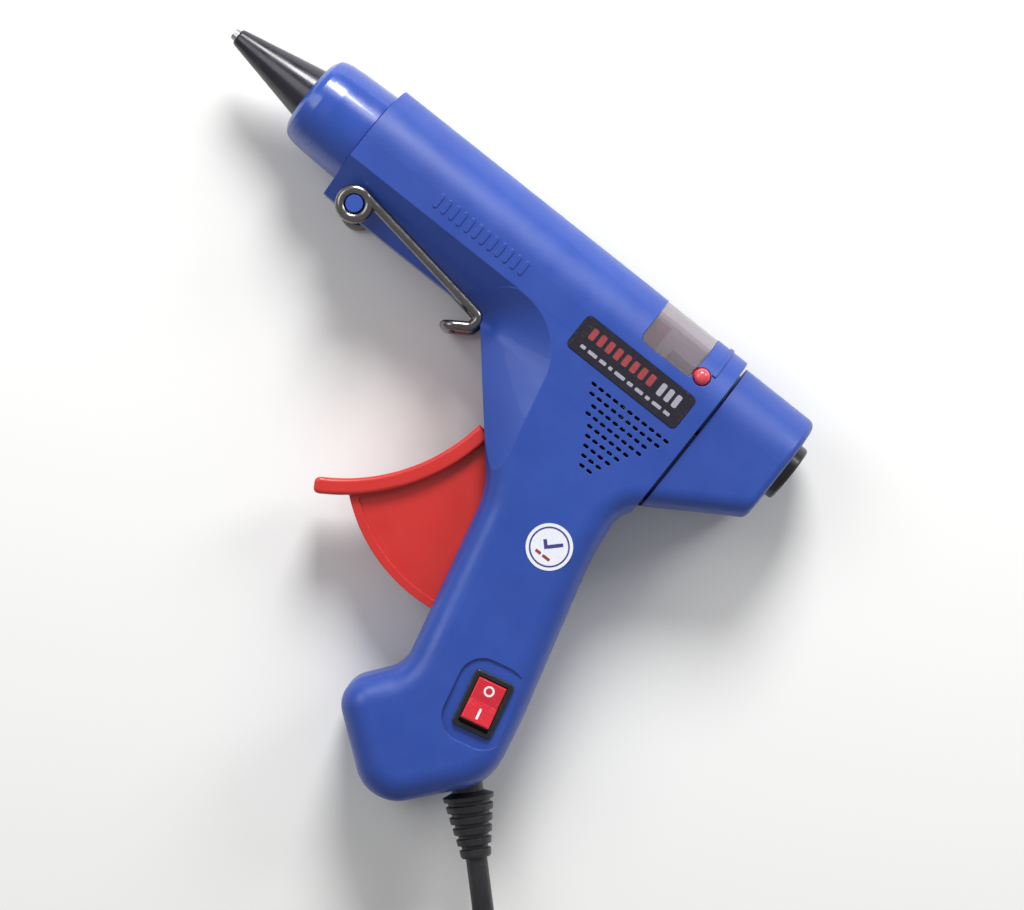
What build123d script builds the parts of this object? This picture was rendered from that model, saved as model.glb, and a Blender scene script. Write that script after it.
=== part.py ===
from build123d import *
import math
import os

# Hot-melt glue gun for 11 mm sticks, lying on its right side.
# The parts are drawn in the gun's own axes, in millimetres: X runs back from
# the nozzle's point, Y up from the barrel's axis, and Z out of the left side
# from the plane where the two housing halves meet. PLACE then moves them onto
# the ground, with the middle of the gun over the origin.

# ---- driving dimensions -------------------------------------------------
PLACE = Location((-98.45, 61.29, 17.0))
GROUND = -17.0

WALL = 2.2
BARREL_R = 17.0
BARREL_FRONT = 47.8
BODY_REAR = 195.5
CREASE_Y = -7.0
BELLY_Y = -19.5
BELLY_HALF = 7.5
GRIP_EDGE = 7.5

# corners of the grip's and throat's side view: x, y, rounding
GRIP_OUTLINE = [
    (89.5, -4, 0),
    (BODY_REAR, -4, 0),
    (BODY_REAR, -18.1, 3),
    (166.2, -36.6, 9),
    (168, -52, 80),
    (180.8, -98.5, 80),
    (184.8, -118, 16),
    (162.5, -144.5, 12),
    (134.2, -123, 8),
    (146.2, -107.6, 10),
    (133.6, -55.3, 25),
]
# the slope round the throat: where it starts on the side walls, and where it
# meets the flat face, both as x, y, rounding
SLOPE_FOOT = [(84, -19.3, 0), (102.9, -19.3, 3), (128.6, -57.3, 0)]
SLOPE_HEAD = [(84, CREASE_Y - 0.2, 0), (124, CREASE_Y - 0.2, 20), (135.8, -51.1, 0)]
# the grip's half thickness: y, z, rounding
WAIST = [(-26, BARREL_R, 900), (-78, 14.2, 450), (-130, BARREL_R, 900)]

GROOVE_FRONT = 168.6
GROOVE_REAR = 169.6
CAP_INSET = 1.5
NECK_INSET = 3.9

STICK_R = 5.5
INLET_R = 5.9
CHAMBER_R = 9.5
CHAMBER_NECK_R = 7.4
SEAL_LIP_R = 8.4

PIVOT = (135.5, -43.0)
ARM_LENGTH = 31.05
ARM_LEAN = 75.0
WEB_R = 48.2
FINGER_CENTRE = (67.6, -35.1)
FINGER_R = 54.0
FLANGE_THICKNESS = 4.6
FLANGE_HALF = 7.0
WEB_HALF = 4.5
PIN_R = 1.5

JAW_PIVOT = (139.5, 8.4)
SPRING_AXIS = (-6.9, -7.2)
SPRING_FRONT = 104.3
SPRING_REAR = 125.5
SPRING_TURNS = 6

WINDOW_X = (140.8, 158.3)
WINDOW_Y = 2.8
LAMP = (160.6, 5.3)
LABEL_MIDDLE = (144.75, -5.7)
LABEL_SIZE = (37.6, 10.4)
STICKER = (156.9, -56.9)
STICKER_R = 6.5

SWITCH = (169.5, -101.8)
SWITCH_TILT = 13.0
SWITCH_FLOOR = 14.4
ROCKER_PIVOT_Z = 12.6
ROCKER_THROW = 8.0

STAND = (56.9, -16.7)
STAND_WIRE_R = 1.4
STAND_EYE_R = 3.9
STAND_Z = 14.9
STUB_R = 2.4

# screws: x, y, depth of the head's seat below the joint plane
SCREWS = [
    (60.0, 12.3, 6.0),
    (105.5, 12.3, 6.0),
    (164.5, 11.5, 6.0),
    (121.0, -24.0, 9.0),
    (163.5, -28.5, 9.0),
    (151.5, -98.5, 9.0),
    (149.0, -126.0, 9.0),
]
SCREW_R = 1.45

CORD_R = 3.0
CORD_OUT = (180.3, -122.9)
CORD_ANGLE = -44.0
RELIEF_LENGTH = 20.5
COIL_TURNS = (27.3, 39.3)
COIL_OFFSET = (62.0, -43.0)
COIL_HEIGHT = 12.7
TIE_ANGLE = 330.0
PLUG_TAIL = 36.0
PLUG_AXIS = 6.85
PIN_PITCH = 11.6


# ---- helpers ------------------------------------------------------------
def rounded_face(corners):
    """A closed outline of straight lines, its corners rounded: x, y, radius."""
    points = [corner[:2] for corner in corners]
    radii = [corner[2] for corner in corners]
    return make_face(FilletPolyline(*points, radius=radii, close=True))


def outline_face(*points):
    return make_face(Polyline(*points, close=True))


def shrunk(face, inset):
    return offset(face, amount=-inset) if inset else face


def plate(face, low, high):
    """A face drawn in X and Y, made solid between two heights."""
    return extrude(Pos(0, 0, low) * face, high - low)


def disc(x, y, radius, low, high):
    return plate(Pos(x, y) * Circle(radius), low, high)


def turned(*points):
    """A solid of revolution about the barrel's axis, from points x, radius."""
    return revolve(outline_face(*points), axis=Axis.X)


def rod_x(front, rear, radius, y=0, z=0):
    return extrude(Plane.YZ.offset(front) * Pos(y, z) * Circle(radius), rear - front)


def block(x, y, z):
    """A box between pairs of coordinates."""
    middle = [(low + high) / 2 for low, high in (x, y, z)]
    return Pos(*middle) * Box(x[1] - x[0], y[1] - y[0], z[1] - z[0])


def mirrored(solid):
    return solid + mirror(solid, about=Plane.XY)


def wire(points, radii, radius):
    """A round wire or cord along straight runs joined by tangent arcs."""
    path = FilletPolyline(*points, radius=radii)
    start = Plane(path @ 0, z_dir=path % 0)
    return sweep(start * Circle(radius), path=path)


def cord_radii(points):
    """The largest bends that a cord's runs leave room for."""
    corners = [Vector(*point) for point in points]
    radii = []
    for before, corner, after in zip(corners, corners[1:], corners[2:]):
        turn = (corner - before).get_angle(after - corner)
        shorter = min((corner - before).length, (after - corner).length)
        radii.append(0.45 * shorter / math.tan(math.radians(turn) / 2))
    return radii


# ---- housing ------------------------------------------------------------
def barrel_form(inset):
    section = make_face([
        Polyline(
            (0, BARREL_R), (CREASE_Y, BARREL_R), (BELLY_Y, BELLY_HALF),
            (BELLY_Y, -BELLY_HALF), (CREASE_Y, -BARREL_R), (0, -BARREL_R),
        ),
        ThreePointArc((0, -BARREL_R), (BARREL_R, 0), (0, BARREL_R)),
    ])
    front = Plane.YZ.offset(BARREL_FRONT + inset)
    return extrude(front * shrunk(section, inset), BODY_REAR - BARREL_FRONT - 2 * inset)


def throat_cut(inset):
    """What the slope round the throat takes off, above the joint plane."""
    faces = []
    for corners, height in ((SLOPE_FOOT, BELLY_HALF), (SLOPE_HEAD, BARREL_R)):
        below = [(corners[-1][0], -90, 0), (corners[0][0], -90, 0)]
        face = rounded_face(corners + below)
        faces.append(Pos(0, 0, height - inset) * shrunk(face, -inset))
    return loft(faces, ruled=True) + extrude(faces[1], 5)


def grip_form(inset):
    top, bottom = 16.0, -160.0
    outline = shrunk(rounded_face(GRIP_OUTLINE), inset)
    half = [(top, BARREL_R, 0)] + WAIST + [(bottom, BARREL_R, 0)]
    across = half + [(y, -z, r) for y, z, r in reversed(half)]
    sides = extrude(Plane.YZ.offset(100) * shrunk(rounded_face(across), inset), 120)
    form = plate(outline, -20, 20) & sides
    roof = GRIP_OUTLINE[0][1] - inset
    rim = [
        edge for edge in form.edges()
        if abs(edge.center().Z) > 10 and abs(edge.center().Y - roof) > 0.5
    ]
    return fillet(rim, GRIP_EDGE - inset) - mirrored(throat_cut(inset))


def body_form(inset):
    """The housing's whole outer form, shrunk inward by the inset."""
    return barrel_form(inset) + grip_form(inset)


def screw_bosses(seat_side):
    """Posts that the screws join. seat_side is -1 where the heads sit."""
    posts = Part()
    for x, y, seat in SCREWS:
        low, high = sorted((0, seat_side * 20))
        posts += disc(x, y, 2.6, low, high)
        if seat_side < 0:
            posts += disc(x, y, 3.9, -20, 0.8 - seat)
    return posts


def screw_holes(seat_side):
    holes = Part()
    for x, y, seat in SCREWS:
        if seat_side < 0:
            holes += disc(x, y, 1.6, -21, 0)
            holes += disc(x, y, 3.0, -21, -seat)
        else:
            holes += disc(x, y, SCREW_R + 0.05, 0, 7.6)
    return holes


def inner_ribs(form):
    """Walls across the barrel that hold the hot end, the throat and the bush."""
    ribs = Part()
    for front, rear, hole in ((76, 78, CHAMBER_R), (100, 102, 7.5), (165.4, 167.4, 7.2)):
        rib = form & block((front, rear), (BELLY_Y, 20), (-20, 20))
        ribs += rib - rod_x(front, rear, hole + 0.05)
    ribs -= rod_x(70, 110, 2.4, -14, -5.5)
    ribs -= block((165, 168), (-30, -8.5), (-12, 12))
    return ribs


def slide_rails():
    rails = Part()
    for y in (1.8, -3.6):
        rails += block((108.5, 139), (y, y + 1.8), (10.6, 15.5))
    return mirrored(rails)


def pivot_bosses():
    return mirrored(disc(*PIVOT, 3.5, 6.2, 16))


def vent_slots():
    """Nine short rows that narrow towards the grip."""
    pitch, rise = 2.5, 2.43
    slots = Sketch()
    for row, count in enumerate((11, 10, 8, 8, 6, 5, 4, 3, 2)):
        y = -14.6 - row * rise
        for k in range(count):
            x = 151.3 + (k - (count - 1) / 2) * pitch
            slots += Pos(x, y) * SlotOverall(1.7, 0.85)
    return slots


def trigger_openings():
    mouth = outline_face((117.5, -41.5), (122.5, -37.5), (140, -50), (138.5, -60), (125, -60))
    slit = outline_face((126, -55), (150, -55), (150, -92.2), (126, -92.2))
    wide, narrow = FLANGE_HALF + 0.5, WEB_HALF + 0.5
    return plate(mouth, -wide, wide) + plate(slit, -narrow, narrow)


def relief_frame(distance):
    """A plane across the cord's way out, at a distance outside the heel."""
    angle = math.radians(CORD_ANGLE)
    way = Vector(math.cos(angle), math.sin(angle), 0)
    return Plane(Vector(*CORD_OUT) + way * distance, x_dir=(0, 0, 1), z_dir=way)


def relief_hole():
    return extrude(relief_frame(-7) * Circle(4.5), 12)


def switch_spot(width, length, low, high, radius=0.0):
    """A block on the switch's tilted axes, its width across and length along."""
    shape = RectangleRounded(width, length, radius) if radius else Rectangle(width, length)
    return plate(Pos(*SWITCH) * Rot(0, 0, SWITCH_TILT) * shape, low, high)


def housing():
    """Both halves in one piece, before they are parted at the joint plane."""
    outer = body_form(0)
    inner = body_form(WALL)
    behind = block((GROOVE_FRONT, 200), (-36.6, 20), (-20, 20))
    shell = outer - inner
    interior = body_form(WALL / 2)
    shell += inner_ribs(interior)
    shell += (slide_rails() + pivot_bosses()) & interior
    shell -= behind
    shoulder = block((166, GROOVE_FRONT), (-31.5, 20), (-20, 20))
    neck = block((GROOVE_FRONT, 175.5), (-31.5, 20), (-20, 20))
    hollow = body_form(NECK_INSET + 2)
    shell += (interior & shoulder) - hollow
    shell += (body_form(NECK_INSET) & neck) - hollow
    shell -= rod_x(46, 52, CHAMBER_R + 0.4)
    shell += rod_x(40, 49, 11.6) - rod_x(40, 49, CHAMBER_R + 0.4)
    crown = (rod_x(162.5, 163.7, BARREL_R + 0.45) - rod_x(162, 164, BARREL_R - 0.3))
    shell += crown & block((162, 164), (7.5, 20), (-20, 20))
    shell += mirrored(disc(*STAND, STUB_R, 7.5, 16.2))
    window = Pos(sum(WINDOW_X) / 2, WINDOW_Y + 12) * RectangleRounded(
        WINDOW_X[1] - WINDOW_X[0], 24, 2)
    shell -= plate(window, -20, 20)
    shell -= plate(vent_slots(), -20, 20)
    shell -= trigger_openings()
    shell -= relief_hole()
    shell -= disc(*PIVOT, PIN_R + 0.02, -12.6, 12.6)
    right, left = split(shell, bisect_by=Plane.XY, keep=Keep.BOTH).solids().sort_by(Axis.Z)
    return left, right, interior


def left_shell(half, interior):
    """The lamp's seat, the label's and the switch's recesses, and the low bars."""
    seat = disc(*LAMP, 3.9, 10.7, 17) & block((160.05, 166), (0, 10), (10, 17))
    half += (screw_bosses(1) + seat) & interior
    half -= screw_holes(1)
    half -= disc(*LAMP, 2.6, 5, 20)
    recess = [side + 0.2 for side in LABEL_SIZE]
    half -= plate(Pos(*LABEL_MIDDLE) * RectangleRounded(*recess, 1.6), 16.7, 18)
    half -= switch_spot(19, 24, SWITCH_FLOOR, 20, 7)
    floor = switch_spot(19, 24, SWITCH_FLOOR - 2, SWITCH_FLOOR, 7) & interior
    half += floor
    half -= switch_spot(10.1, 15.1, 5, 20)
    for k in range(12):
        half += plate(Pos(74.6 + 2.68 * k, -1.8) * SlotOverall(4.4, 1.3, 90), 16.5, 17.25)
    return half


def right_shell(half, interior):
    """The screws' seats, the posts under the cord's clamp, and the spring's seat."""
    half += (screw_bosses(-1) + clamp_discs(1.8, -20, 2.9)) & interior
    half += rod_x(101.5, SPRING_FRONT - 0.45, 3.1, *SPRING_AXIS) - rod_x(100, 106, SEAL_LIP_R + 0.1)
    half += rod_x(SPRING_FRONT - 1, SPRING_FRONT + 2.5, 1.4, *SPRING_AXIS)
    return half - screw_holes(-1) - clamp_discs(0.95, -6, 3)


def cap_form(inset):
    """The rear cap's outer form: the barrel's section over a sloping underside."""
    half = BARREL_R - inset
    section = make_face([
        Polyline((0, half), (-40, half), (-40, -half), (0, -half)),
        ThreePointArc((0, -half), (half, 0), (0, half)),
    ])
    form = extrude(
        Plane.YZ.offset(GROOVE_REAR) * section, BODY_REAR - inset - GROOVE_REAR)
    high, low = [Vector(*corner[:2]) for corner in GRIP_OUTLINE[2:4]]
    slope = (high - low).normalized()
    up = Vector(-slope.Y, slope.X) * inset
    low, high = low + up - slope * 20, high + up + slope * 20
    below = outline_face((low.X, low.Y), (high.X, high.Y), (high.X, low.Y - 60))
    form -= plate(below, -20, 20)
    slanted = form.faces().sort_by(Axis.Y)[0]
    rim = [edge for edge in slanted.edges() if abs(edge.center().Z) > half - 0.1]
    return fillet(rim, GRIP_EDGE - inset)


def rear_cap():
    cap = cap_form(CAP_INSET)
    back = cap.faces().sort_by(Axis.X)[-1]
    cap = fillet(back.edges(), 2.2)
    cap -= cap_form(CAP_INSET + WALL)
    return cap - rod_x(188, 200, 7.3)


def front_collar():
    return turned(
        (27.5, 8.9), (27.5, 10.6), (28.2, 11.8), (28.8, 12.6), (30.2, 13.2), (32, 13.6),
        (36, 13.9), (47.3, 14.3), (47.7, 13.9), (47.7, 11.7), (39.8, 11.7), (39.8, 11.4),
        (30, 11.4), (30, 8.9),
    )


def housing_screws():
    screws = []
    for x, y, seat in SCREWS:
        screw = disc(x, y, SCREW_R, -seat, 6.5) + disc(x, y, 2.7, -seat - 1.8, -seat)
        cross = Pos(x, y) * (Rectangle(3.2, 0.8) + Rectangle(0.8, 3.2))
        screws.append(screw - plate(cross, -seat - 1.9, -seat - 0.9))
    return Compound(children=screws)


# ---- hot end ------------------------------------------------------------
def nozzle_tip():
    return turned(
        (0, 1.0), (0, 1.5), (1.5, 1.85), (22, 5.6), (26.5, 5.6), (26.5, 7.0), (30.95, 7.0),
        (30.95, 4.95), (37, 4.95), (37, 3.2), (12, 3.2), (10, 1.0),
    )


def nozzle_sleeve():
    return turned(
        (1.5, 1.88), (1.5, 2.3), (2.1, 2.6), (30.8, 8.55), (30.8, 7.05), (26.4, 7.05),
        (26.4, 5.65), (22, 5.65),
    )


def melting_chamber():
    outer = turned(
        (31, 5), (31, CHAMBER_R), (80, CHAMBER_R), (80, CHAMBER_NECK_R),
        (88, CHAMBER_NECK_R), (88, 5.65), (40, 5.65), (37.2, 5),
    )
    heel = block((53, 74), (-14.6, -6.5), (-7.4, 7.4)) - rod_x(50, 80, 8.5)
    heel -= block((52, 75), (-13.4, -10.3), (-5.6, 5.6))
    return outer + heel


def ptc_element():
    return block((54, 73), (-12.5, -10.35), (-5.4, 5.4))


def heater_wedge():
    bent = outline_face((54, -13.3), (73, -13.3), (73, -12.6), (63.5, -12.55), (54, -12.6))
    return plate(bent, -5, 5)


def insulator_ring():
    return turned((35.8, 9.6), (35.8, 11.3), (39.6, 11.3), (39.6, 9.6))


def stick_seal():
    return turned(
        (82, 7.45), (82, 8.9), (99.8, 8.9), (99.8, 7.5), (102.2, 7.5), (102.2, SEAL_LIP_R),
        (104, SEAL_LIP_R), (104, 7.0), (100, 5.7), (88.2, 5.7), (88.2, 7.45),
    )


def seal_clamp():
    band = turned((83.6, 8.95), (83.6, 9.5), (86.6, 9.5), (86.6, 8.95))
    ears = block((83.6, 86.6), (9.2, 12.4), (0.5, 1.1)) + block(
        (83.6, 86.6), (9.2, 12.4), (-1.1, -0.5))
    gap = block((83, 87), (8, 10), (-0.5, 0.5))
    return band + ears - gap


def inlet_bush():
    return turned(
        (150, 6.6), (150, 7.2), (193.0, 7.2), (194.05, 7.2), (194.05, 8.2), (194.4, 8.5),
        (196.4, 8.5), (196.9, 8.1), (196.9, 7.0), (195.0, INLET_R), (151, INLET_R),
    )


# ---- trigger and feed ---------------------------------------------------
def arm_end():
    angle = math.radians(ARM_LEAN)
    return PIVOT[0] + ARM_LENGTH * math.cos(angle), PIVOT[1] + ARM_LENGTH * math.sin(angle)


def trigger():
    """Finger flange, web with a sunk panel, hub, and the arm with its cross pin."""
    behind = Pos(*FINGER_CENTRE) * Circle(FINGER_R + FLANGE_THICKNESS)
    finger = behind - Pos(*FINGER_CENTRE) * Circle(FINGER_R)
    reach = outline_face(FINGER_CENTRE, (134, -44.4), (134, -110), (103.3, -97.4))
    profile = finger & reach
    profile = fillet(profile.vertices().sort_by(Axis.Y)[:2], 1.5)
    flange = plate(profile, -FLANGE_HALF, FLANGE_HALF)
    flange = fillet([e for e in flange.edges() if abs(e.center().Z) > FLANGE_HALF - 0.1], 1.1)
    sector = outline_face(
        (122.5, -43.2), (127, -39.2), (PIVOT[0], -38.2), (140.4, -43), (147, -100), (95, -100))
    web = (Pos(*PIVOT) * Circle(WEB_R) & sector) - Pos(*FINGER_CENTRE) * Circle(FINGER_R + 1.5)
    panel = offset(web, amount=-2.3) - Pos(*PIVOT) * Circle(9)
    lever = plate(web, -WEB_HALF, WEB_HALF)
    lever -= plate(panel, WEB_HALF - 0.9, 10) + plate(panel, -10, 0.9 - WEB_HALF)
    x, y = arm_end()
    arm = Pos((PIVOT[0] + x) / 2, (PIVOT[1] + y) / 2) * Rot(0, 0, ARM_LEAN) * SlotCenterToCenter(
        ARM_LENGTH, 7)
    lever += plate(arm, -3.2, 3.2)
    lever += disc(x, y, 2.0, -7.2, 7.2) + disc(*PIVOT, 5, -5.9, 5.9)
    return flange + lever - disc(*PIVOT, PIN_R + 0.05, -10, 10)


def trigger_pin():
    return disc(*PIVOT, PIN_R, -12.4, 12.4)


def return_spring():
    """Coil spring between its seat on the throat's rib and the carriage."""
    length = SPRING_REAR - SPRING_FRONT
    coil = Helix(pitch=length / SPRING_TURNS, height=length, radius=2.2)
    start = Plane(coil @ 0, z_dir=coil % 0)
    spring = sweep(start * Circle(0.38), path=coil)
    return Pos(SPRING_FRONT, *SPRING_AXIS) * Rot(0, 90, 0) * spring


def feed_carriage():
    """Slide round the stick, with tongues, a fork for the arm and a jaw slot."""
    shape = Pos(0.75, 0) * RectangleRounded(19.5, 20, 3.2)
    slide = extrude(Plane.YZ.offset(126) * shape, 20)
    slide += mirrored(block((127, 138), (-1.5, 1.5), (9, 12.4)))
    cheek = block((138, 149), (-17, -8), (3.8, 7.6))
    slot = Pos(arm_end()[0], -12.6) * SlotOverall(6.4, 4.8, 90)
    slide += mirrored(cheek - plate(slot, 3, 8))
    slide -= block((137, 150), (-20, -6.6), (-3.75, 3.75))
    slide -= plate(Pos(arm_end()[0], -12.6) * SlotOverall(6.4, 4.8, 90), -8, 8)
    slide -= rod_x(125, 147, STICK_R + 0.7)
    slide -= block((129.4, 142.4), (4, 12), (-2.7, 2.7))
    return slide - disc(*JAW_PIVOT, 1.0, -12, 12)


def grip_jaw():
    x, y = JAW_PIVOT
    lever = outline_face(
        (x + 1.8, y - 1.4), (x + 1.4, y + 1.7), (x - 6, y + 1.7), (x - 9, y + 0.6),
        (x - 9.2, y - 1.9), (x - 7.6, y - 1.5), (x - 7.2, y - 2.0), (x - 6.0, y - 1.5),
        (x - 3, y - 1.5),
    )
    return plate(lever, -2.3, 2.3) - disc(x, y, 1.05, -3, 3)


def jaw_pin():
    return disc(*JAW_PIVOT, 0.98, -8.5, 8.5)


# ---- window, lamp, label, switch ----------------------------------------
def inspection_window():
    """A saddle of smoked plastic that fills the opening from inside."""
    outside = rod_x(WINDOW_X[0] - 2, WINDOW_X[1] + 2, 16.8)
    middle = rod_x(WINDOW_X[0] - 2, WINDOW_X[1] + 2, BARREL_R - WALL - 0.1)
    inside = rod_x(WINDOW_X[0] - 3, WINDOW_X[1] + 3, 13.7)
    width = WINDOW_X[1] - WINDOW_X[0]
    place = Pos(sum(WINDOW_X) / 2, WINDOW_Y + 12)
    pane = plate(place * RectangleRounded(width - 0.2, 23.8, 1.9), -20, 20)
    frame = plate(place * RectangleRounded(width + 3.2, 25.6, 3), -20, 20)
    return (outside & pane) + (middle & frame) - inside - disc(*LAMP, 3.0, 5, 20)


def indicator_led():
    lens = disc(*LAMP, 2.5, 9.5, 17.1)
    lens = fillet(lens.edges().sort_by(Axis.Z)[-1], 2.3)
    return lens + disc(*LAMP, 2.9, 9.5, 10.5)


def led_leads():
    x, y = LAMP
    leads = []
    for side, end in ((-1.27, 2.2), (1.27, -9.0)):
        points = [(x + side, y, 9.5), (x + side, y, 8.4), (x + side, end, 8.4)]
        leads.append(wire(points, [0.6], 0.25))
    points = [(x - 1.27, -3.2, 8.4), (x - 1.27, -9.0, 8.4)]
    path = Line(*points)
    leads.append(sweep(Plane(path @ 0, z_dir=path % 0) * Circle(0.25), path=path))
    return Compound(children=leads)


def led_resistor():
    body = Plane.XZ * Circle(1.0)
    return Pos(LAMP[0] - 1.27, 2.2, 8.4) * extrude(body, 5.4)


def label_plate():
    return plate(Pos(*LABEL_MIDDLE) * RectangleRounded(*LABEL_SIZE, 1.5), 16.7, 17.15)


def inspection_sticker():
    half = [(16, BARREL_R, 0)] + WAIST + [(-160, BARREL_R, 0)]
    across = rounded_face(half + [(y, -z, r) for y, z, r in reversed(half)])
    under = extrude(Plane.YZ.offset(140) * across, 40)
    over = extrude(Plane.YZ.offset(140) * offset(across, amount=0.12), 40)
    return (over - under) & disc(*STICKER, STICKER_R, 5, 20)


def switch_body():
    case = switch_spot(9.9, 14.9, 4.9, SWITCH_FLOOR)
    bezel = switch_spot(11.6, 16.6, SWITCH_FLOOR, SWITCH_FLOOR + 1.2, 1.2)
    bezel = fillet(bezel.faces().sort_by(Axis.Z)[-1].edges(), 0.4)
    well = switch_spot(8.8, 13.8, 9.2, 17)
    return case + bezel - well - rocker_axle(0.95, 4.93)


def rocker_axle(radius, half):
    axle = extrude(Plane.YZ * Circle(radius), half, both=True)
    return Pos(SWITCH[0], SWITCH[1], ROCKER_PIVOT_Z) * Rot(0, 0, SWITCH_TILT) * axle


def switch_rocker():
    """A rocker with a shallow V across its top, tipped to one of its stops."""
    profile = outline_face(
        (-6.2, 4.1), (0, 3.2), (6.2, 4.1), (5.5, -1.0), (1.5, -2.4), (-1.5, -2.4), (-5.5, -1.0))
    rocker = extrude(Plane.YZ * profile, 4.2, both=True)
    top = [e for e in rocker.edges() if e.center().Z > 3.3]
    rocker = fillet(top, 0.5)
    rocker += extrude(Plane.YZ * Circle(0.9), 4.85, both=True)
    lean = Rot(-ROCKER_THROW, 0, 0)
    place = Pos(SWITCH[0], SWITCH[1], ROCKER_PIVOT_Z) * Rot(0, 0, SWITCH_TILT)
    return place * lean * rocker


def on_switch(shape, low, high):
    """The same small shape at both terminals, four millimetres from the middle."""
    place = Pos(*SWITCH) * Rot(0, 0, SWITCH_TILT)
    return [plate(place * Pos(0, along) * shape, low, high) for along in (-4, 4)]


def switch_terminals():
    return Compound(children=on_switch(Rectangle(4.8, 0.8), -4.6, 4.9))


def terminal_sleeves():
    sleeves = on_switch(Rectangle(6.2, 2.4) - Rectangle(4.9, 0.9), -9.5, 1.0)
    ends = on_switch(Rectangle(6.2, 2.4), -11, -9.5)
    return Compound(children=[a + b for a, b in zip(sleeves, ends)])


# ---- stand --------------------------------------------------------------
def wire_stand():
    """One wire: an eye on each side, two legs, and a folded foot."""
    x, y = STAND
    eye = Pos(x, y, STAND_Z) * Torus(STAND_EYE_R, STAND_WIRE_R + 0.1)
    foot = (103.3, -19.6)
    leg = [
        (x, y + STAND_EYE_R, STAND_Z), (*foot, STAND_Z), (102.6, -23.2, STAND_Z),
        (96.6, -27.2, STAND_Z), (96.6, -27.2, -STAND_Z), (102.6, -23.2, -STAND_Z),
        (*foot, -STAND_Z), (x, y + STAND_EYE_R, -STAND_Z),
    ]
    legs = wire(leg, [1.9, 1.9, 2.6, 2.6, 1.9, 1.9], STAND_WIRE_R)
    return mirrored(eye) + legs - mirrored(disc(x, y, STUB_R + 0.1, 10, 20))


# ---- cord ---------------------------------------------------------------
def strain_relief():
    """Tapered and ribbed, with a groove that the heel's wall fits in."""
    end = RELIEF_LENGTH
    points = [(-6.2, 3.05), (-6.2, 5.3), (-4.1, 5.3), (-4.1, 4.4), (2.0, 4.4), (3.2, 7.2)]
    ribs = 5
    for k in range(ribs):
        start = 4.4 + k * 3.1
        radius = 7.2 - 0.55 * (k + 1)
        points += [(start, radius + 0.3), (start + 0.3, radius - 0.7)]
        points += [(start + 1.1, radius - 0.8), (start + 1.4, radius)]
    points += [(end - 0.6, 4.3), (end, 3.9), (end, 3.05)]
    face = outline_face(*points)
    shape = revolve(face, axis=Axis.X)
    return relief_axes() * shape


def relief_axes():
    return Pos(*CORD_OUT, 0) * Rot(0, 0, CORD_ANGLE)


def cord_lead_in():
    return relief_axes() * rod_x(-12.5, RELIEF_LENGTH, CORD_R)


def cord_clamp():
    bar = block((-10.5, -6.9), (-6.9, 6.9), (3.05, 5.0))
    return relief_axes() * fillet(bar.edges().filter_by(Axis.Z), 1.5) - clamp_discs(1.0, 2, 6)


def clamp_discs(radius, low, high):
    """A disc at each of the clamp's two screws."""
    discs = Part()
    for side in (-5.0, 5.0):
        middle = (relief_axes() * Pos(-8.7, side, 0)).position
        discs += disc(middle.X, middle.Y, radius, low, high)
    return discs


def clamp_screws():
    return clamp_discs(0.9, -5, 5) + clamp_discs(1.8, 5, 6.2)


def from_exit(along, aside, height):
    """A point by its distance beyond the strain relief, to the side, and height."""
    return (relief_axes() * Pos(RELIEF_LENGTH + along, aside, height)).position


def mains_cord():
    low = GROUND + CORD_R
    route = [
        (0, 0, 0), (12, 0, 0), (25, -0.3, -3.2), (38, -1.2, -8.2), (50, -2.4, -12.4),
        (62, -3.7, low),
    ]
    points = [tuple(from_exit(*place)) for place in route]
    radii = cord_radii(points)
    print("cord radii", [round(radius, 1) for radius in radii])
    cord = wire(points, radii, CORD_R)
    length = FilletPolyline(*points, radius=radii).length
    print("cord volume", cord.volume, "section x length", math.pi * CORD_R**2 * length)
    return cord


def coil_middle():
    return from_exit(*COIL_OFFSET, GROUND)


def cord_coil():
    """Outer shape of just over five turns in two layers."""
    middle = coil_middle()
    inner, outer = COIL_TURNS
    ring = Circle(outer + CORD_R) - Circle(inner - CORD_R)
    coil = plate(Pos(middle.X, middle.Y) * ring, GROUND, GROUND + COIL_HEIGHT)
    return coil - tie_block(0.7)


def tie_block(thickness):
    """The band's outer block; without its thickness it is the gap inside."""
    middle = coil_middle()
    inner, outer = COIL_TURNS
    grow = CORD_R + thickness
    band = block(
        (inner - grow, outer + grow), (-5, 5), (GROUND, GROUND + COIL_HEIGHT + thickness))
    return Pos(middle.X, middle.Y, 0) * Rot(0, 0, TIE_ANGLE) * band


def cord_tie():
    middle = coil_middle()
    inner, outer = COIL_TURNS
    gap = block(
        (inner - CORD_R, outer + CORD_R), (-6, 6), (GROUND + 0.7, GROUND + COIL_HEIGHT))
    return tie_block(0.7) - Pos(middle.X, middle.Y, 0) * Rot(0, 0, TIE_ANGLE) * gap


def plug_axes():
    """Axes at the plug's tail: X runs along the plug, away from the coil."""
    middle = coil_middle()
    tail = Pos(middle.X - PLUG_TAIL, middle.Y - COIL_TURNS[1], GROUND + PLUG_AXIS)
    return tail * Rot(0, 0, 180)


def cord_tail():
    """From the coil's upper layer down to the plug, which lies on the ground."""
    high = COIL_HEIGHT - CORD_R - PLUG_AXIS
    points = [(-PLUG_TAIL, 0, high), (14 - PLUG_TAIL, 0, high), (-8, 0, 0), (0, 0, 0)]
    return plug_axes() * wire(points, cord_radii(points), CORD_R)


def plug_body():
    """A flat two-pin plug: a tapered tail, then the body."""
    sections = [(0, 8.6, 8.6, 4), (9, 11, 10, 4), (16, 17.5, 13.4, 5), (34, 17.8, 13.6, 5)]
    faces = [
        Plane.YZ.offset(along) * RectangleRounded(width, height, radius)
        for along, width, height, radius in sections
    ]
    return plug_axes() * loft(faces, ruled=True)


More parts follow.
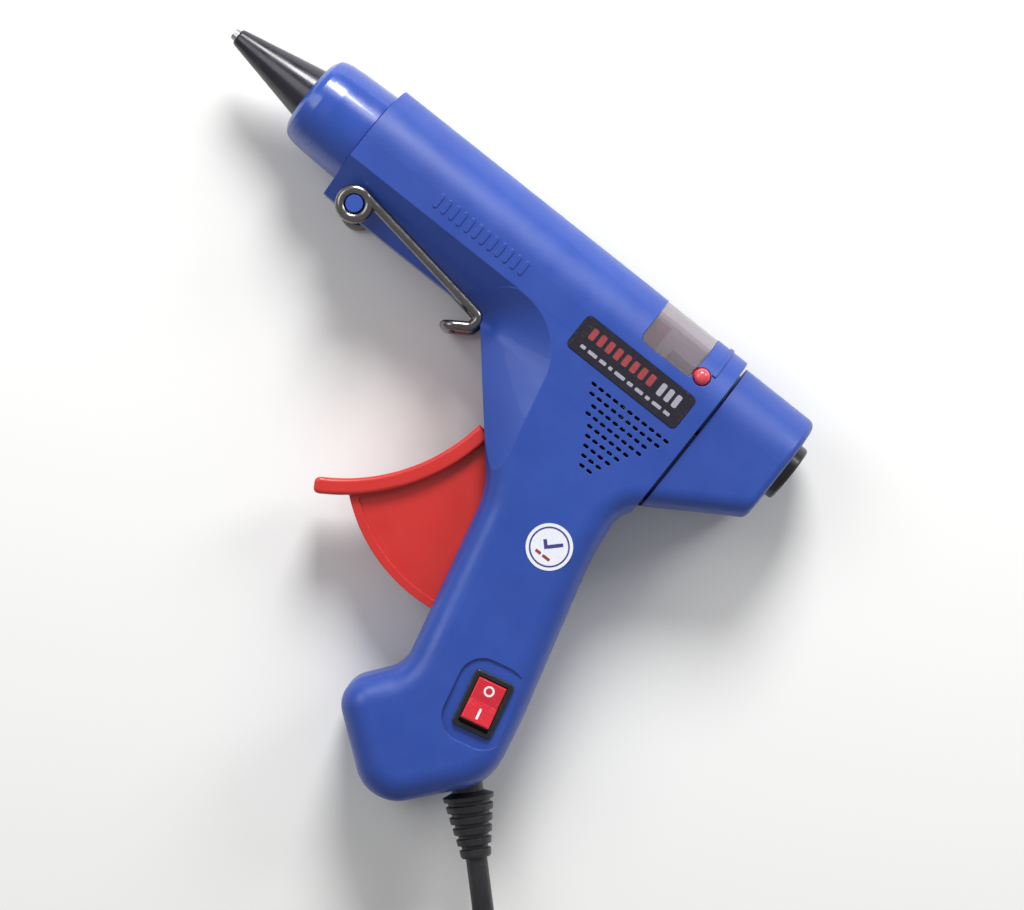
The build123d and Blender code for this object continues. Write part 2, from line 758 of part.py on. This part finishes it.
def plug_pins():
    pins = []
    for side in (-PIN_PITCH / 2, PIN_PITCH / 2):
        pin = rod_x(34, 53, 2.0, side, 0)
        pins.append(plug_axes() * fillet(pin.edges().sort_by(Axis.X)[-1], 1.0))
    return Compound(children=pins)


# ---- wires inside -------------------------------------------------------
def heater_wires():
    """Two insulated wires from the heel up the grip and along the barrel."""
    wires = []
    for shift in (0.0, 2.1):
        points = [
            (161.5 - shift, -113, -8.5), (162.5 - shift, -96, -9), (158.5 - shift, -62, -9),
            (157 - shift, -22, -9.5), (150, -14 - shift / 2, -9.8), (118, -13.6 - shift / 3, -9.2),
            (99, -13.6, -4.4 - shift / 2), (79.5, -13.2, -4.4 - shift / 2),
        ]
        wires.append(wire(points, [8, 12, 12, 3, 5, 4], 0.8))
    return Compound(children=wires)


# ---- the whole gun ------------------------------------------------------
def parts():
    left, right, interior = housing()
    return {
        "left_shell": left_shell(left, interior),
        "right_shell": right_shell(right, interior),
        "rear_cap": rear_cap(),
        "front_collar": front_collar(),
        "housing_screws": housing_screws(),
        "nozzle_tip": nozzle_tip(),
        "nozzle_sleeve": nozzle_sleeve(),
        "melting_chamber": melting_chamber(),
        "ptc_element": ptc_element(),
        "heater_wedge": heater_wedge(),
        "insulator_ring": insulator_ring(),
        "stick_seal": stick_seal(),
        "seal_clamp": seal_clamp(),
        "inlet_bush": inlet_bush(),
        "trigger": trigger(),
        "trigger_pin": trigger_pin(),
        "return_spring": return_spring(),
        "feed_carriage": feed_carriage(),
        "grip_jaw": grip_jaw(),
        "jaw_pin": jaw_pin(),
        "inspection_window": inspection_window(),
        "indicator_led": indicator_led(),
        "led_leads": led_leads(),
        "led_resistor": led_resistor(),
        "label_plate": label_plate(),
        "inspection_sticker": inspection_sticker(),
        "switch_body": switch_body(),
        "switch_rocker": switch_rocker(),
        "switch_terminals": switch_terminals(),
        "terminal_sleeves": terminal_sleeves(),
        "wire_stand": wire_stand(),
        "strain_relief": strain_relief(),
        "cord_lead_in": cord_lead_in(),
        "cord_clamp": cord_clamp(),
        "clamp_screws": clamp_screws(),
        "heater_wires": heater_wires(),
        "mains_cord": mains_cord(),
        "cord_coil": cord_coil(),
        "cord_tie": cord_tie(),
        "cord_tail": cord_tail(),
        "plug_body": plug_body(),
        "plug_pins": plug_pins(),
    }


def main():
    os.makedirs("parts", exist_ok=True)
    for name, shape in parts().items():
        export_step(PLACE * shape, f"parts/{name}.step")


main()
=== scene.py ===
import math

import bmesh
import bpy
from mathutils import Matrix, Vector


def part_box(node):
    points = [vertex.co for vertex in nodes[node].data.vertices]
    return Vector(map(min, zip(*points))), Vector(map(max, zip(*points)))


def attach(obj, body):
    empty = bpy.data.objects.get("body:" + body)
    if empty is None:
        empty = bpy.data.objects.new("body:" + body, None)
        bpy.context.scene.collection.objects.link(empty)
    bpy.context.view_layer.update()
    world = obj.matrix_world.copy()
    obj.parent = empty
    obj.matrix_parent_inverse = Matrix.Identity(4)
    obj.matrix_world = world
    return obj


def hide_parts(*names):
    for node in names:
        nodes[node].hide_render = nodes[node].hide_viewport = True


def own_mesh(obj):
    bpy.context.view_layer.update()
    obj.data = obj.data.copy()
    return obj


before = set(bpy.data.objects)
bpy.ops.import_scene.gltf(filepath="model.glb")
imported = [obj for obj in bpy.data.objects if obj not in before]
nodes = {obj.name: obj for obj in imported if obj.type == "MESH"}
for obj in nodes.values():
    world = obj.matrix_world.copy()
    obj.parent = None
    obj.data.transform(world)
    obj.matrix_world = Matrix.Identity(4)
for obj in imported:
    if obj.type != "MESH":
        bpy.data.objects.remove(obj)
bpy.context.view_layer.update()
scene = bpy.context.scene
scene.view_settings.view_transform = "Standard"
MM = 0.001

# ---- camera, lights and floor -------------------------------------------
# The picture looks straight down on the gun's left side, turned so that the
# barrel runs from the upper left to the lower right.
TURN = math.radians(38.5)
VIEW_MIDDLE = Vector((0.03485, 0.01769, 0.017))
VIEW_WIDTH = 0.2844
CAMERA_HEIGHT = 0.9
FLOOR_COLOUR = (0.80, 0.80, 0.79, 1)


def camera():
    data = bpy.data.cameras.new("camera")
    data.sensor_width = 36
    data.lens = data.sensor_width * CAMERA_HEIGHT / VIEW_WIDTH
    eye = bpy.data.objects.new("camera", data)
    eye.location = VIEW_MIDDLE + Vector((0, 0, CAMERA_HEIGHT))
    eye.rotation_euler = (0, 0, TURN)
    scene.collection.objects.link(eye)
    scene.camera = eye


def area_light(name, right, up, height, size, watts):
    """A soft light placed by the picture's own right and up directions."""
    data = bpy.data.lights.new(name, "AREA")
    data.shape = "DISK"
    data.size, data.energy = size, watts
    light = bpy.data.objects.new(name, data)
    along = Vector((math.cos(TURN), math.sin(TURN), 0))
    away = Vector((-math.sin(TURN), math.cos(TURN), 0))
    light.location = VIEW_MIDDLE + along * right + away * up + Vector((0, 0, height))
    light.rotation_euler = (VIEW_MIDDLE - light.location).to_track_quat("-Z", "Y").to_euler()
    scene.collection.objects.link(light)


def world_light(strength):
    world = bpy.data.worlds.new("studio")
    world.use_nodes = True
    background = world.node_tree.nodes["Background"]
    background.inputs["Color"].default_value = (1, 1, 1, 1)
    background.inputs["Strength"].default_value = strength
    scene.world = world


camera()
area_light("key", 0.12, 0.85, 0.60, 0.40, 12)
area_light("fill", -0.6, 0.4, 0.75, 0.6, 2.5)
area_light("rim", 0.75, 0.45, 0.5, 0.4, 3)
world_light(0.36)


# ---- materials ----------------------------------------------------------
INPUTS = {
    "metallic": "Metallic", "transmission": "Transmission Weight", "ior": "IOR",
    "coat": "Coat Weight",
}


class Finish:
    """A node material round one Principled shader, placed by the row frame's axes."""

    def __init__(self, name, roughness, **inputs):
        self.material = bpy.data.materials.new(name)
        self.material.use_nodes = True
        self.tree = self.material.node_tree
        self.shader = self.tree.nodes["Principled BSDF"]
        self.shader.inputs["Roughness"].default_value = roughness
        for key, value in inputs.items():
            self.shader.inputs[INPUTS[key]].default_value = value
        self.place = self.add("ShaderNodeTexCoord").outputs["Object"]
        self.normal = None

    def add(self, kind, **links):
        node = self.tree.nodes.new(kind)
        for key, value in links.items():
            self.put(node.inputs[key.replace("_", " ")], value)
        return node

    def put(self, socket, value):
        if isinstance(value, bpy.types.NodeSocket):
            self.tree.links.new(value, socket)
        else:
            socket.default_value = value

    def stretched(self, x, y, z):
        node = self.add("ShaderNodeMapping", Vector=self.place)
        node.inputs["Scale"].default_value = (x, y, z)
        return node.outputs[0]

    def noise(self, scale, detail=3.0, place=None):
        node = self.add("ShaderNodeTexNoise", Vector=place or self.place)
        node.inputs["Scale"].default_value = scale
        node.inputs["Detail"].default_value = detail
        return node.outputs["Fac"]

    def span(self, value, low, high, to_low=0.0, to_high=1.0):
        node = self.add("ShaderNodeMapRange", Value=value)
        for key, number in zip(
                ("From Min", "From Max", "To Min", "To Max"), (low, high, to_low, to_high)):
            node.inputs[key].default_value = number
        return node.outputs["Result"]

    def maths(self, how, first, second=0.0):
        node = self.add("ShaderNodeMath")
        node.operation = how
        self.put(node.inputs[0], first)
        self.put(node.inputs[1], second)
        return node.outputs[0]

    def mixed(self, share, first, second):
        node = self.add("ShaderNodeMixRGB", Fac=share)
        self.put(node.inputs["Color1"], first)
        self.put(node.inputs["Color2"], second)
        return node.outputs[0]

    def bump(self, height, depth, strength=1.0):
        node = self.add("ShaderNodeBump", Height=height)
        node.inputs["Distance"].default_value = depth
        node.inputs["Strength"].default_value = strength
        if self.normal:
            self.put(node.inputs["Normal"], self.normal)
        self.normal = node.outputs[0]

    def soft_edges(self, radius):
        node = self.add("ShaderNodeBevel")
        node.samples = 6
        node.inputs["Radius"].default_value = radius
        self.normal = node.outputs[0]

    def done(self, colour, roughness=None):
        self.put(self.shader.inputs["Base Color"], colour)
        if roughness is not None:
            self.put(self.shader.inputs["Roughness"], roughness)
        if self.normal:
            self.put(self.shader.inputs["Normal"], self.normal)
        return self.material


def tint(red, green, blue):
    """A linear colour from what the eye sees, 0 to 255."""
    def linear(value):
        value /= 255
        return value / 12.92 if value <= 0.04045 else ((value + 0.055) / 1.055) ** 2.4
    return linear(red), linear(green), linear(blue), 1.0


def moulded(name, colour, darker, roughness, grain=0.00002, seam_at=None, edge=0.0003, **inputs):
    """Moulded plastic: fine spark grain, faint flow marks, and rubbed patches."""
    make = Finish(name, roughness, **inputs)
    make.soft_edges(edge)
    flow = make.span(make.noise(28, 4, make.stretched(0.5, 1, 1)), 0.35, 0.7)
    patches = make.span(make.noise(95, 5), 0.4, 0.75)
    base = make.mixed(make.maths("MULTIPLY", flow, 0.5), colour, darker)
    base = make.mixed(make.maths("MULTIPLY", patches, 0.22), base, darker)
    gloss = make.span(make.noise(140, 6), 0.3, 0.7, roughness - 0.05, roughness + 0.08)
    make.bump(make.noise(5200, 2), grain, 0.5)
    make.bump(make.noise(900, 3), grain * 2, 0.25)
    if seam_at is not None:
        height = make.add("ShaderNodeSeparateXYZ", Vector=make.place).outputs["Z"]
        near = make.maths("ABSOLUTE", make.maths("SUBTRACT", height, seam_at))
        line = make.span(near, 0.00008, 0.0002, 1, 0)
        base = make.mixed(line, base, (0.004, 0.006, 0.02, 1))
        make.bump(make.maths("SUBTRACT", 1.0, line), 0.00012, 0.6)
    return make.done(base, gloss)


def metal(name, colour, darker, roughness, brushed=(1, 1, 1), scale=900, depth=0.00001):
    """Bare metal: brushed or tumbled marks, and tarnish in faint clouds."""
    make = Finish(name, roughness, metallic=1.0)
    make.soft_edges(0.0002)
    marks = make.noise(scale, 4, make.stretched(*brushed))
    clouds = make.span(make.noise(60, 4), 0.4, 0.7)
    base = make.mixed(make.maths("MULTIPLY", clouds, 0.6), colour, darker)
    gloss = make.span(marks, 0.3, 0.7, roughness - 0.06, roughness + 0.1)
    make.bump(marks, depth, 0.5)
    return make.done(base, gloss)


def rubber(name, colour, lighter, roughness, depth=0.00003):
    """Silicone or vinyl: soft sheen, specks of dust, and slight waviness."""
    make = Finish(name, roughness, coat=0.15)
    make.soft_edges(0.0002)
    dust = make.span(make.noise(700, 6), 0.62, 0.8)
    clouds = make.span(make.noise(70, 3), 0.4, 0.7)
    base = make.mixed(make.maths("MULTIPLY", clouds, 0.5), colour, lighter)
    base = make.mixed(make.maths("MULTIPLY", dust, 0.25), base, (0.12, 0.12, 0.13, 1))
    gloss = make.span(make.noise(180, 5), 0.3, 0.7, roughness - 0.06, roughness + 0.12)
    make.bump(make.noise(2600, 2), depth * 0.4, 0.5)
    make.bump(make.noise(210, 2), depth, 0.4)
    return make.done(base, gloss)


def printed(name, colour, darker, roughness=0.3):
    """Ink or paper film, with a slightly uneven surface."""
    make = Finish(name, roughness)
    mottle = make.span(make.noise(1500, 5), 0.35, 0.7)
    base = make.mixed(make.maths("MULTIPLY", mottle, 0.5), colour, darker)
    gloss = make.span(make.noise(420, 4), 0.3, 0.7, roughness - 0.08, roughness + 0.12)
    make.bump(make.noise(3000, 3), 0.000006, 0.4)
    return make.done(base, gloss)


def smoked():
    """The window: tinted and polished, with faint wipe marks."""
    make = Finish("smoked_pane", 0.09, transmission=0.8, ior=1.49)
    wiped = make.span(make.noise(260, 5, make.stretched(0.25, 1, 1)), 0.45, 0.75)
    gloss = make.maths("ADD", make.maths("MULTIPLY", wiped, 0.08), 0.03)
    base = make.mixed(make.maths("MULTIPLY", wiped, 0.4), tint(186, 177, 186), tint(160, 151, 162))
    make.bump(make.noise(160, 2), 0.00002, 0.3)
    return make.done(base, gloss)


def lamp_red():
    make = Finish("lamp_red", 0.12, transmission=0.25, ior=1.5, coat=0.6)
    cloud = make.span(make.noise(500, 3), 0.35, 0.7)
    base = make.mixed(make.maths("MULTIPLY", cloud, 0.4), tint(244, 86, 98), tint(214, 44, 64))
    make.bump(make.noise(700, 2), 0.00001, 0.3)
    return make.done(base)


def scuffed(name, colour, darker, roughness):
    """Switch, plug and label plastic: smooth, with fine scratches both ways."""
    make = Finish(name, roughness, coat=0.2)
    make.soft_edges(0.0002)
    one = make.span(make.noise(350, 6, make.stretched(1, 14, 1)), 0.6, 0.75)
    other = make.span(make.noise(350, 6, make.stretched(11, 1, 1)), 0.62, 0.75)
    marks = make.maths("MAXIMUM", one, other)
    base = make.mixed(make.maths("MULTIPLY", make.noise(120, 4), 0.6), colour, darker)
    base = make.mixed(make.maths("MULTIPLY", marks, 0.12), base, tint(150, 150, 155))
    gloss = make.maths("ADD", make.maths("MULTIPLY", marks, 0.25), roughness)
    make.bump(make.noise(1800, 3), 0.00001, 0.3)
    return make.done(base, gloss)


SEAM = sum(corner.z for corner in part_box("nozzle_tip")) / 2
BLUE, BLUE_DARK = tint(38, 73, 160), tint(28, 56, 136)

blue = moulded("blue_moulded", BLUE, BLUE_DARK, 0.40, seam_at=SEAM, coat=0.12)
cap_blue = moulded("blue_cap", tint(37, 70, 154), BLUE_DARK, 0.42, coat=0.1)
collar_blue = moulded("blue_collar", tint(38, 73, 160), BLUE_DARK, 0.26, coat=0.35)
red = moulded("red_satin", tint(198, 44, 38), tint(176, 30, 30), 0.34, 0.000012, coat=0.2)
slide_red = moulded("dark_red", tint(172, 36, 38), tint(140, 26, 30), 0.45)
rocker_red = scuffed("rocker_red", tint(206, 36, 52), tint(170, 22, 40), 0.2)
black = scuffed("black_smooth", tint(26, 26, 30), tint(16, 16, 20), 0.3)
label_black = scuffed("label_black", tint(30, 28, 40), tint(20, 18, 30), 0.25)
sleeve_black = rubber("sleeve_black", tint(24, 22, 34), tint(34, 30, 44), 0.24)
cord_black = rubber("cord_black", tint(28, 28, 32), tint(38, 38, 42), 0.42)
silicone_red = rubber("silicone_red", tint(150, 52, 40), tint(164, 66, 52), 0.4)
vinyl_clear = rubber("vinyl_clear", tint(206, 206, 198), tint(220, 220, 214), 0.35)
braid = rubber("braid_white", tint(214, 212, 202), tint(226, 224, 216), 0.6)
paper = printed("paper_white", tint(226, 228, 236), tint(206, 210, 222), 0.42)
fibre = printed("fibre_brown", tint(168, 142, 104), tint(138, 112, 78), 0.7)
film = printed("film_amber", tint(176, 112, 44), tint(148, 88, 30), 0.3)
ink_white = printed("ink_white", tint(228, 226, 230), tint(200, 198, 206))
ink_grey = printed("ink_grey", tint(158, 156, 170), tint(132, 130, 146))
ink_red = printed("ink_red", tint(150, 62, 66), tint(122, 46, 54))
ink_blue = printed("ink_blue", tint(66, 66, 128), tint(48, 46, 104))
steel = metal("steel_plated", tint(196, 196, 198), tint(160, 160, 164), 0.3)
# The wire stand's nickel is set much darker than bare nickel: painted shade standing in for the
# dark surroundings that the wire reflects.
nickel_painted_dark = metal("nickel_wire", tint(132, 129, 128), tint(80, 78, 78), 0.2, (1, 12, 12), 500)
plated = metal("nickel_tip", tint(168, 166, 166), tint(120, 118, 120), 0.3, (12, 1, 1))
brass = metal("brass_turned", tint(206, 176, 108), tint(166, 132, 72), 0.28, (12, 1, 1))
tumbled = metal("aluminium_cast", tint(206, 206, 208), tint(176, 176, 180), 0.45, scale=400)

FINISHES = {
    "left_shell": blue, "right_shell": blue, "rear_cap": cap_blue, "front_collar": collar_blue,
    "housing_screws": steel, "nozzle_tip": plated, "nozzle_sleeve": sleeve_black,
    "melting_chamber": tumbled, "ptc_element": film, "heater_wedge": steel,
    "insulator_ring": fibre, "stick_seal": silicone_red, "seal_clamp": steel,
    "inlet_bush": black, "trigger": red, "trigger_pin": steel, "return_spring": steel,
    "feed_carriage": slide_red, "grip_jaw": steel, "jaw_pin": steel,
    "inspection_window": smoked(), "indicator_led": lamp_red(), "led_leads": steel,
    "led_resistor": film, "label_plate": label_black, "inspection_sticker": paper,
    "switch_body": black, "switch_rocker": rocker_red, "switch_terminals": brass,
    "terminal_sleeves": vinyl_clear, "wire_stand": nickel_painted_dark, "strain_relief": cord_black,
    "cord_lead_in": cord_black, "cord_clamp": black, "clamp_screws": steel,
    "heater_wires": braid, "mains_cord": cord_black, "cord_coil": cord_black,
    "cord_tie": black, "cord_tail": cord_black, "plug_body": cord_black, "plug_pins": brass,
}
for name, material in FINISHES.items():
    for place in nodes[name].material_slots:
        place.material = material
    if not nodes[name].material_slots:
        nodes[name].data.materials.append(material)


def link(name, mesh, material):
    piece = bpy.data.objects.new(name, mesh)
    mesh.materials.append(material)
    scene.collection.objects.link(piece)
    return piece


def floor():
    mesh = bpy.data.meshes.new("floor")
    half = 3.0
    corners = [(-half, -half, 0), (half, -half, 0), (half, half, 0), (-half, half, 0)]
    mesh.from_pydata(corners, [], [(0, 1, 2, 3)])
    make = Finish("floor_pale", 0.8)
    cloud = make.span(make.noise(3, 3), 0.3, 0.7)
    plane = link("floor", mesh, make.done(
        make.mixed(make.maths("MULTIPLY", cloud, 0.1), FLOOR_COLOUR, (0.74, 0.74, 0.73, 1))))


floor()

# ---- cord ---------------------------------------------------------------
CORD_R = 0.003
ROUTE = [
    (0.09660, -0.07585, 0.0170),
    (0.10523, -0.08419, 0.0170),
    (0.11437, -0.09344, 0.0138),
    (0.12310, -0.10311, 0.0088),
    (0.13090, -0.11231, 0.0046),
    (0.13863, -0.12158, 0.0030),
]
COIL_MIDDLE = Vector((0.11133, -0.14985))
OUTER, MIDDLE, INNER = 0.0393, 0.0333, 0.0273
LOWER, UPPER = 0.0037, 0.0097
PLUG_HEIGHT = 0.00685
START = math.radians(46)
PER_TURN = 24
TURNS = 5.378
# each turn: radius and height before and after its step, and where the step starts
COIL = [
    (OUTER, MIDDLE, LOWER, LOWER, 0.78), (MIDDLE, INNER, LOWER, LOWER, 0.78),
    (INNER, INNER, LOWER, UPPER, 0.56), (INNER, MIDDLE, UPPER, UPPER, 0.34),
    (MIDDLE, OUTER, UPPER, UPPER, 0.34), (OUTER, OUTER, UPPER, UPPER, 0.34),
]
STEP_LENGTH = 0.22


def coil_point(turns):
    """A point of the coil, clockwise from above, this many turns from its start."""
    part = turns % 1
    near, far, low, high, start = COIL[int(turns)]
    step = min(max((part - start) / STEP_LENGTH, 0), 1)
    step = step * step * (3 - 2 * step)
    reach = (near + (far - near) * step) / (0.75 + 0.25 * math.cos(2 * math.pi / PER_TURN))
    angle = START - 2 * math.pi * turns
    return (COIL_MIDDLE.x + reach * math.cos(angle), COIL_MIDDLE.y + reach * math.sin(angle),
            low + (high - low) * step)


def cord_piece():
    points = list(ROUTE)
    points += [coil_point(k / PER_TURN) for k in range(1, int(TURNS * PER_TURN))]
    side = COIL_MIDDLE.y - OUTER
    points += [(COIL_MIDDLE.x + x, side, z) for x, z in (
        (0.004, UPPER), (-0.005, UPPER), (-0.013, UPPER), (-0.018, 0.0090), (-0.024, 0.0075),
        (-0.029, PLUG_HEIGHT), (-0.037, PLUG_HEIGHT))]
    curve = bpy.data.curves.new("mains_lead", "CURVE")
    curve.dimensions = "3D"
    curve.bevel_depth = CORD_R
    curve.bevel_resolution = 6
    curve.resolution_u = 6
    curve.use_fill_caps = True
    spline = curve.splines.new("NURBS")
    spline.points.add(len(points) - 1)
    for point, where in zip(spline.points, points):
        point.co = (*where, 1)
    spline.order_u = 3
    spline.use_endpoint_u = True
    curve.materials.append(cord_black)
    piece = bpy.data.objects.new("mains_lead", curve)
    scene.collection.objects.link(piece)
    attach(piece, "housing")
    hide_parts("mains_cord", "cord_coil", "cord_tail")


cord_piece()


# ---- return spring ------------------------------------------------------
def spring_piece():
    """The coil spring, built once to fill the return spring's box; on the real gun it shortens as
    the trigger brings the carriage forward.
    """
    wire_r, turns, per_turn, sides, travel = 0.00038, 6, 32, 10, 0.0161
    low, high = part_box("return_spring")
    middle = (low + high) / 2
    reach = (high.z - low.z) / 2 - wire_r
    front, length = low.x + wire_r, high.x - low.x - 2 * wire_r
    work = bmesh.new()
    rings = []
    for k in range(turns * per_turn + 1):
        angle = 2 * math.pi * k / per_turn
        out = Vector((0, math.cos(angle), math.sin(angle)))
        centre = Vector((front + length * k / (turns * per_turn), middle.y, middle.z)) + out * reach
        rings.append([
            work.verts.new(centre + wire_r * (
                out * math.cos(2 * math.pi * j / sides)
                + Vector((math.sin(2 * math.pi * j / sides), 0, 0))))
            for j in range(sides)])
    for near, far in zip(rings, rings[1:]):
        for j in range(sides):
            after = (j + 1) % sides
            work.faces.new((near[j], near[after], far[after], far[j]))
    work.faces.new(reversed(rings[0]))
    work.faces.new(rings[-1])
    bmesh.ops.recalc_face_normals(work, faces=work.faces[:])
    mesh = bpy.data.meshes.new("feed_spring")
    work.to_mesh(mesh)
    work.free()
    for face in mesh.polygons:
        face.use_smooth = True
    piece = link("feed_spring", mesh, steel)
    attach(piece, "housing")
    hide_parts("return_spring")
    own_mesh(piece)


spring_piece()


# ---- prints -------------------------------------------------------------
SWITCH_TILT = 13


def rounded_outline(x, y, width, height, radius, corner_steps=5):
    """Corner-rounded rectangle as points, counter-clockwise."""
    points = []
    radius = min(radius, width / 2 - 1e-6, height / 2 - 1e-6)
    for turn, (sx, sy) in enumerate(((1, 1), (-1, 1), (-1, -1), (1, -1))):
        for k in range(corner_steps + 1):
            angle = math.pi / 2 * (turn + k / corner_steps)
            points.append((
                x + sx * (width / 2 - radius) + radius * math.cos(angle),
                y + sy * (height / 2 - radius) + radius * math.sin(angle)))
    return points


def ring_outline(x, y, outer, inner, steps=64):
    """Outer and inner loops of a ring."""
    loops = []
    for radius in (outer, inner):
        loops.append([
            (x + radius * math.cos(2 * math.pi * k / steps),
             y + radius * math.sin(2 * math.pi * k / steps)) for k in range(steps)])
    return loops


def print_piece(name, outlines, rings, target, material, body, lift=0.00005, sink=0.00004):
    """Thin raised ink that follows the surface of a CAD node from above."""
    work = bmesh.new()
    for outline in outlines:
        corners = [work.verts.new((x, y, 0)) for x, y in outline]
        work.faces.new(corners)
    for outer, inner in rings:
        first = [work.verts.new((x, y, 0)) for x, y in outer]
        second = [work.verts.new((x, y, 0)) for x, y in inner]
        for k in range(len(first)):
            after = (k + 1) % len(first)
            work.faces.new((first[k], first[after], second[after], second[k]))
    bmesh.ops.triangulate(work, faces=work.faces[:])
    top = bmesh.ops.extrude_face_region(work, geom=work.faces[:])
    raised = {v for v in top["geom"] if isinstance(v, bmesh.types.BMVert)}
    surface = nodes[target]
    for vert in work.verts:
        hit, where, _, _ = surface.ray_cast(Vector((vert.co.x, vert.co.y, 0.1)), Vector((0, 0, -1)))
        if not hit:
            raise ValueError(f"{name}: nothing under {tuple(vert.co)}")
        vert.co.z = where.z + (lift if vert in raised else -sink)
    bmesh.ops.recalc_face_normals(work, faces=work.faces[:])
    mesh = bpy.data.meshes.new(name)
    work.to_mesh(mesh)
    work.free()
    piece = link(name, mesh, material)
    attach(piece, body)
    return piece


def label_print():
    """Rows of plain bars where the label had print."""
    low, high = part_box("label_plate")
    middle = (low + high) / 2

    def bar(along, up, width, height, radius):
        """A bar by its distance from the label's left end and above its middle."""
        return rounded_outline(
            low.x + along * MM, middle.y + up * MM, width * MM, height * MM, radius * MM)

    reds = [bar(4.4 + 2.85 * k, 1.6, 1.8, 3.4, 0.5) for k in range(8)]
    greys = [bar(28.2 + 2.6 * k, 1.4, 1.6, 3.8, 0.5) for k in range(3)]
    start, gap = 3.4, 0.95
    for width in (1.6, 3.0, 2.2, 1.2, 3.4, 1.8, 2.6, 1.4, 3.0, 2.0):
        greys.append(bar(start + width / 2, -2.8, width, 1.0, 0.3))
        start += width + gap
    print_piece("label_bars_red", reds, [], "label_plate", ink_red, "housing")
    print_piece("label_bars_white", greys, [], "label_plate", ink_grey, "housing")


def sticker_print():
    """A ring and a tick on the round sticker, with two short bars."""
    low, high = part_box("inspection_sticker")
    x, y = (low.x + high.x) / 2, (low.y + high.y) / 2
    ring = [ring_outline(x, y, 5.6 * MM, 5.15 * MM)]
    tick = [(-2.6, 0.6), (-1.9, 1.3), (-0.7, 0.1), (2.3, 3.1), (3.0, 2.4), (-0.7, -1.3)]
    shapes = [[(x + dx * MM, y + dy * MM) for dx, dy in reversed(tick)]]
    bars = [rounded_outline(x + dx * MM, y - 2.9 * MM, width * MM, 0.8 * MM, 0.2 * MM)
            for dx, width in ((-1.6, 1.8), (1.1, 2.4))]
    print_piece("sticker_mark", shapes, ring, "inspection_sticker", ink_blue, "housing")
    print_piece("sticker_bars", bars, [], "inspection_sticker", ink_red, "housing")


def rocker_print():
    """A line and a ring, on and off."""
    low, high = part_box("switch_rocker")
    x, y = (low.x + high.x) / 2, (low.y + high.y) / 2
    tilt = math.radians(SWITCH_TILT)
    up = Vector((-math.sin(tilt), math.cos(tilt)))
    ring_middle = Vector((x, y)) + up * 3.4 * MM
    line_middle = Vector((x, y)) - up * 3.3 * MM
    side = Vector((math.cos(tilt), math.sin(tilt)))
    line = [line_middle + side * sx * 0.32 * MM + up * sy * 1.5 * MM
            for sx, sy in ((1, -1), (1, 1), (-1, 1), (-1, -1))]
    print_piece("rocker_marks", [[tuple(p) for p in line]],
                [ring_outline(ring_middle.x, ring_middle.y, 1.5 * MM, 0.95 * MM, 40)],
                "switch_rocker", ink_white, "rocker")


label_print()
sticker_print()
rocker_print()
